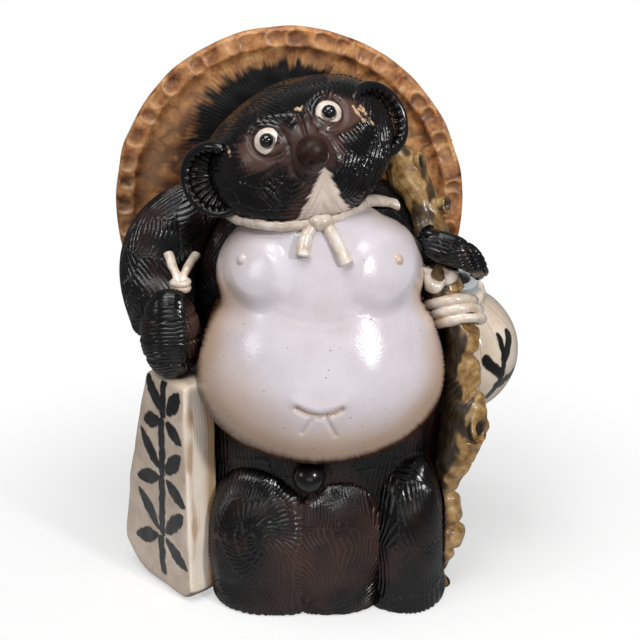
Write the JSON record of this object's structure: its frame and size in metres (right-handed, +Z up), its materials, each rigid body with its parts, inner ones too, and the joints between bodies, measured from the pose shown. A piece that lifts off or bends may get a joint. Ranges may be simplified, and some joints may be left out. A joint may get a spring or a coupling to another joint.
{
  "type": "tanuki statue",
  "caption": "Glazed stoneware figure of a standing raccoon dog with a hat on its back, round white belly, flask, knotty staff and account book.",
  "frame": {"origin": "middle of the foot, on the plane it stands on", "axes": "+Z up, the animal looks along -Y"},
  "size_m": [0.293, 0.2291, 0.3894],
  "materials": {
    "fur_glaze": "gloss black glaze over combed clay",
    "belly_glaze": "gloss off-white glaze",
    "bare_clay": "unglazed stoneware",
    "nose_glaze": "gloss dark brown glaze",
    "eye_glaze": "cream glaze",
    "pupil_glaze": "gloss black glaze",
    "hat_slip": "brown iron slip, satin",
    "cord_glaze": "cream glaze",
    "book_glaze": "beige glaze, satin",
    "flask_glaze": "cream glaze",
    "staff_slip": "tan and brown slip, satin",
    "pouch_glaze": "brown glaze over combed clay"
  },
  "bodies": {
    "root": {"body_front": "fur_glaze", "body_back": "fur_glaze", "base_slab": "bare_clay", "belly": "belly_glaze", "nipples": "belly_glaze", "head": "fur_glaze", "nose": "nose_glaze", "right_eye_white": "eye_glaze", "left_eye_white": "eye_glaze", "right_pupil": "pupil_glaze", "left_pupil": "pupil_glaze", "right_ear": "fur_glaze", "left_ear": "fur_glaze", "hat_underside": "hat_slip", "hat_crown": "hat_slip", "chin_cord_right": "cord_glaze", "chin_cord_left": "cord_glaze", "bow_knot": "cord_glaze", "bow_tail_right": "cord_glaze", "bow_tail_left": "cord_glaze", "right_arm": "fur_glaze", "right_fist": "fur_glaze", "book_string": "cord_glaze", "account_book": "book_glaze", "left_arm": "fur_glaze", "flask": "flask_glaze", "flask_cord": "cord_glaze", "flask_loop": "cord_glaze", "staff": "staff_slip", "pouch": "pouch_glaze", "pouch_knob": "nose_glaze", "left_leg": "fur_glaze", "tail": "fur_glaze"}
  },
  "joints": []
}
